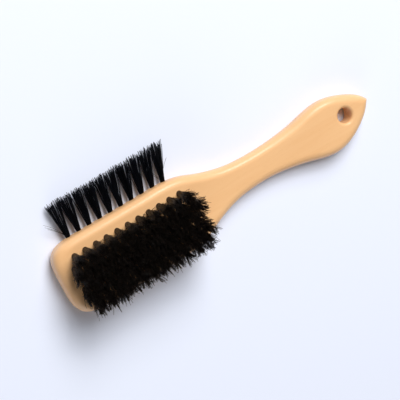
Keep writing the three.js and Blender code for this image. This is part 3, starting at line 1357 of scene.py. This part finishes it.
# ---------------------------------------------------------------------------- the brush
@dataclass
class FadeBrush:
    """The whole brush: the wooden body, the boar field, the stiff nylon row and its staples."""

    wood: WoodenBody
    layout: TuftLayout = field(default_factory=TuftLayout)
    beech: LacqueredBeech = field(default_factory=LacqueredBeech)
    wire: TinnedFlatWire = field(default_factory=TinnedFlatWire)
    hole_slack: float = 0.12  # between a tuft and its hole
    hole_extra_depth: float = 0.3  # under the fold of a tuft
    drill_run_out: float = 4.0  # of a drill, outside the wood
    drill_sides: int = 28
    # The fixed seeds: one for each row of the field, each stiff tuft and the loose filaments.
    field_seed_step: int = 100
    edge_seed: int = 1000
    edge_seed_step: int = 10
    loose_seed: int = 2000

    def boar_roots(self) -> list[list[Vector]]:
        """Gives the roots of every row of the field."""
        face = self.wood.head_thickness
        return [self.layout.boar_row(row, face) for row in range(len(self.layout.boar_counts))]

    def nylon_roots(self) -> list[Vector]:
        """Gives the roots of the stiff row."""
        return self.layout.nylon_row(self.wood.head_width / 2)

    def drill(
        self, root: Vector, shape: TuftShape, side: Side
    ) -> tuple[np.ndarray, list[list[int]]]:
        """Shapes the drill for one tuft's blind hole.

        Args:
            root: where the tuft leaves the wood.
            shape: the tuft's shape, which sets the width and the depth.
            side: the side of the wood that is drilled.

        Returns:
            The vertices and the faces of the drill.
        """
        radius = shape.root_radius + self.hole_slack
        bottom = -shape.buried - self.hole_extra_depth
        profile = [(radius, bottom), (radius, self.drill_run_out)]
        return turned_solid(profile, self.drill_sides, tuple(root), side.outward)

    def build_body(self) -> bpy.types.Object:
        """Builds the wooden body with every hole in it.

        Returns:
            The piece that stands for the CAD body.
        """
        skin = self.wood.skin()
        field_roots = [root for row in self.boar_roots() for root in row]
        drills = [self.drill(root, BOAR_TUFT, Side.FACE) for root in field_roots]
        drills += [self.drill(root, NYLON_TUFT, Side.EDGE) for root in self.nylon_roots()]
        cutters = join_solids([self.wood.hole_cutter(), *drills])
        cut = skin.modifiers.new("holes", "BOOLEAN")
        cut.operation = "DIFFERENCE"
        cut.solver = "MANIFOLD"
        cut.object = cutters
        body = apply_modifiers(skin, "wooden_body")
        bpy.data.objects.remove(cutters)
        body.data.shade_smooth()
        body.data.set_sharp_from_angle(angle=SHARP_FROM)
        body.data.materials.clear()
        body.data.materials.append(self.beech.material())
        return keep(body, "wood", "brush_body")

    def build_field(self, grower: BristleGrower) -> list[bpy.types.Object]:
        """Grows the boar field, one piece for each row.

        Args:
            grower: the tree that grows the bristles.

        Returns:
            The rows, from the nylon side.
        """
        finish = BOAR.material()
        rows = []
        for number, roots in enumerate(self.boar_roots(), start=1):
            leans = [self.layout.boar_tip_lean(root) for root in roots]
            name = f"boar_bristles_{number}"
            seed = self.field_seed_step * number
            row = grower.grow(name, roots, leans, BOAR_TUFT, Side.FACE, finish, seed)
            rows.append(keep(row, "boar_bristle", f"boar_row_{number}"))
        return rows

    def build_edge_row(self, grower: BristleGrower) -> list[bpy.types.Object]:
        """Grows the stiff nylon tufts, one piece for each tuft, and the loose filaments.

        Args:
            grower: the tree that grows the bristles.

        Returns:
            The tufts, from the end of the head, and then the loose filaments.
        """
        finish = NYLON.material()
        first, last = self.layout.nylon_lean
        tufts = []
        for number, root in enumerate(self.nylon_roots(), start=1):
            share = (number - 1) / (self.layout.nylon_count - 1)
            lean = Vector(((first + (last - first) * share) * NYLON_TUFT.standing, 0, 0))
            name = f"nylon_bristles_{number:02d}"
            seed = self.edge_seed + self.edge_seed_step * number
            tuft = grower.grow(name, [root], [lean], NYLON_TUFT, Side.EDGE, finish, seed)
            tufts.append(keep(tuft, "nylon_bristle", f"nylon_tuft_{number:02d}"))
        ends = [self.nylon_roots()[0], self.nylon_roots()[-1]]
        upright = [Vector((0, 0, 0)) for _ in ends]
        loose = grower.grow(
            "loose_nylon", ends, upright, LOOSE_NYLON, Side.EDGE, finish, self.loose_seed
        )
        tufts.append(keep(loose, "nylon_bristle"))
        return tufts

    def dress_staples(self) -> int:
        """Gives the CAD staples their metal.

        Returns:
            How many staples there are.
        """
        metal = self.wire.material()
        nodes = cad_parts.items()
        staples = [node for name, node in nodes if name.startswith("nylon_anchor")]
        for node in staples:
            node.data.materials.clear()
            node.data.materials.append(metal)
        return len(staples)


def keep(piece: bpy.types.Object, slot: str, *nodes: str) -> bpy.types.Object:
    """Makes a piece ride on the brush and stand for its CAD nodes.

    Args:
        piece: the finished piece.
        slot: not used.
        *nodes: the CAD nodes that it replaces.

    Returns:
        The piece.
    """
    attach(piece, BODY)
    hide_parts(*nodes)
    triangles = sum(len(face.vertices) - 2 for face in piece.data.polygons)
    stands_for = ", ".join(nodes) or "no CAD node"
    log.info("%s: %d triangles, for %s", piece.name, triangles, stands_for)
    return piece


# ---------------------------------------------------------------------------- studio
@dataclass
class Studio:
    """A plain pale floor, soft light and the camera."""

    floor_half_size: float = 2.5
    paper: PalePaper = field(default_factory=PalePaper)
    # Directions are seen from the brush. Distances and sizes are in metres, powers in watts.
    key_direction: tuple[float, float, float] = (0.37, 0.56, 1.0)
    key_distance: float = 2.0
    key_size: float = 1.15
    key_power: float = 37.0
    window_direction: tuple[float, float, float] = (0.4, 0.75, 0.68)
    window_distance: float = 1.8
    window_size: float = 0.7
    window_power: float = 15.0
    reflector_direction: tuple[float, float, float] = (-0.6, -0.8, 0.35)
    reflector_distance: float = 1.5
    reflector_size: float = 1.0
    reflector_power: float = 6.0
    sky: str = "F2F4FA"
    sky_strength: float = 0.12
    # The camera looks from over the head and the nylon side, with the handle up to the right.
    view_back: tuple[float, float, float] = (-0.2598, 0.2804, 0.924)
    view_up: tuple[float, float, float] = (0.4953, 0.8602, -0.1218)
    view_distance: float = 0.8638
    view_target: tuple[float, float, float] = (0.04555, 0.001, 0.0042)
    lens_mm: float = 138.1
    sensor_mm: float = 36.0

    def build_floor(self) -> bpy.types.Object:
        """Lays the floor under the brush.

        Returns:
            The floor.
        """
        half = self.floor_half_size / MM
        corners = np.array([[-half, -half, 0], [half, -half, 0], [half, half, 0], [-half, half, 0]])
        floor = mesh_object("studio_floor", corners, [[0, 1, 2, 3]])
        floor.data.materials.append(self.paper.material())
        return floor

    def add_light(
        self, name: str, direction: Sequence[float], distance: float, size: float, power: float
    ) -> bpy.types.Object:
        """Hangs a square softbox that faces the brush.

        Args:
            name: the light's name.
            direction: where it hangs, seen from the brush.
            distance: how far away it hangs, in metres.
            size: its side, in metres.
            power: its power, in watts.

        Returns:
            The light's object.
        """
        lamp = bpy.data.lights.new(name, "AREA")
        lamp.size = size
        lamp.energy = power
        away = Vector(direction).normalized()
        holder = bpy.data.objects.new(name, lamp)
        holder.location = Vector(self.view_target) + away * distance
        holder.rotation_euler = away.to_track_quat("Z", "Y").to_euler()
        bpy.context.scene.collection.objects.link(holder)
        return holder

    def build_light(self) -> None:
        """Sets the softboxes and the pale surroundings."""
        key = self.add_light(
            "key_softbox", self.key_direction, self.key_distance, self.key_size, self.key_power
        )
        key.visible_glossy = False  # so that the window makes the highlight on the edges
        self.add_light(
            "window",
            self.window_direction,
            self.window_distance,
            self.window_size,
            self.window_power,
        )
        self.add_light(
            "reflector",
            self.reflector_direction,
            self.reflector_distance,
            self.reflector_size,
            self.reflector_power,
        )
        world = bpy.data.worlds.new("pale_room")
        world.use_nodes = True
        background = world.node_tree.nodes["Background"]
        background.inputs["Color"].default_value = linear(self.sky)
        background.inputs["Strength"].default_value = self.sky_strength
        bpy.context.scene.world = world

    def build_camera(self) -> None:
        """Sets the camera at the angle that shows the face and the nylon side."""
        lens = bpy.data.cameras.new("camera")
        lens.lens = self.lens_mm
        lens.sensor_width = self.sensor_mm
        lens.clip_start = 0.01
        back = Vector(self.view_back).normalized()
        right = Vector(self.view_up).cross(back).normalized()
        up = back.cross(right)
        camera = bpy.data.objects.new("camera", lens)
        place = Vector(self.view_target) + back * self.view_distance
        turn = Matrix((right, up, back)).transposed().to_4x4()
        camera.matrix_world = Matrix.Translation(place) @ turn
        bpy.context.scene.collection.objects.link(camera)
        bpy.context.scene.camera = camera

    def build(self) -> None:
        """Builds the floor, the light and the camera."""
        self.build_floor()
        self.build_light()
        self.build_camera()
        bpy.context.scene.view_settings.view_transform = "Standard"
        log.info("studio: floor, light and camera")


def main() -> None:
    """Builds the brush and the studio."""
    logging.basicConfig(level=logging.INFO, format="%(name)s: %(message)s")
    brush = FadeBrush(WoodenBody.from_frame())
    brush.build_body()
    grower = BristleGrower()
    brush.build_field(grower)
    brush.build_edge_row(grower)
    log.info("staples: %d", brush.dress_staples())
    Studio().build()


if __name__ == "__main__":
    main()
